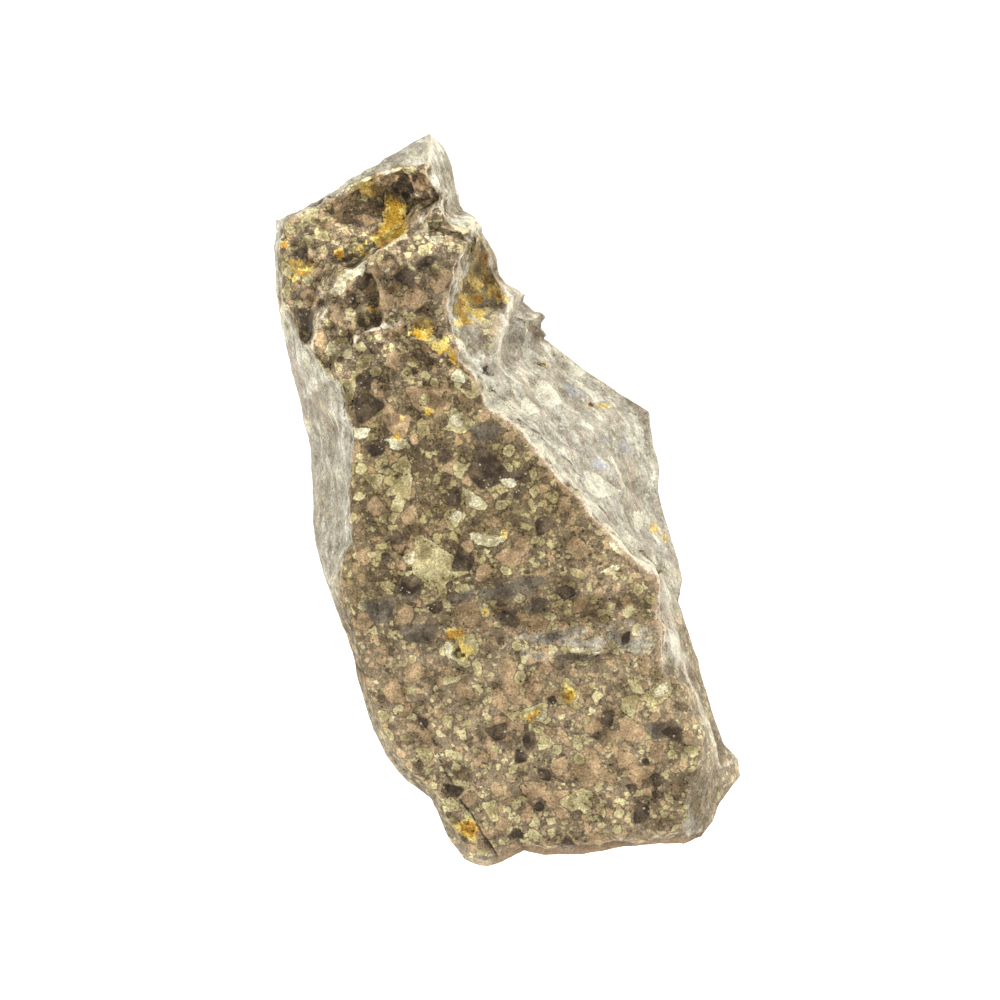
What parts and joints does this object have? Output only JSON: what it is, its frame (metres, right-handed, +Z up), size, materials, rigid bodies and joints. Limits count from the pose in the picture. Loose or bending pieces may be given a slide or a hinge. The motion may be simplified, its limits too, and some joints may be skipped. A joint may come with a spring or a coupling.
{
  "type": "porphyry rock specimen",
  "caption": "Broken hand specimen of speckled porphyry with a long front face, a pointed top and ridged, chipped sides, lying on its flattest break.",
  "frame": {"origin": "on the table, under the middle of the specimen's bounding box, with the flat broken back resting at z = 0", "axes": "+Y along the specimen's length towards its pointed top, +X across it, +Z up through the speckled front face"},
  "size_m": [0.0626, 0.0976, 0.034],
  "materials": {
    "porphyry": "dry, rough broken stone, speckled with pale feldspar and dark quartz"
  },
  "bodies": {
    "root": {"porphyry_specimen": "porphyry"}
  },
  "joints": []
}
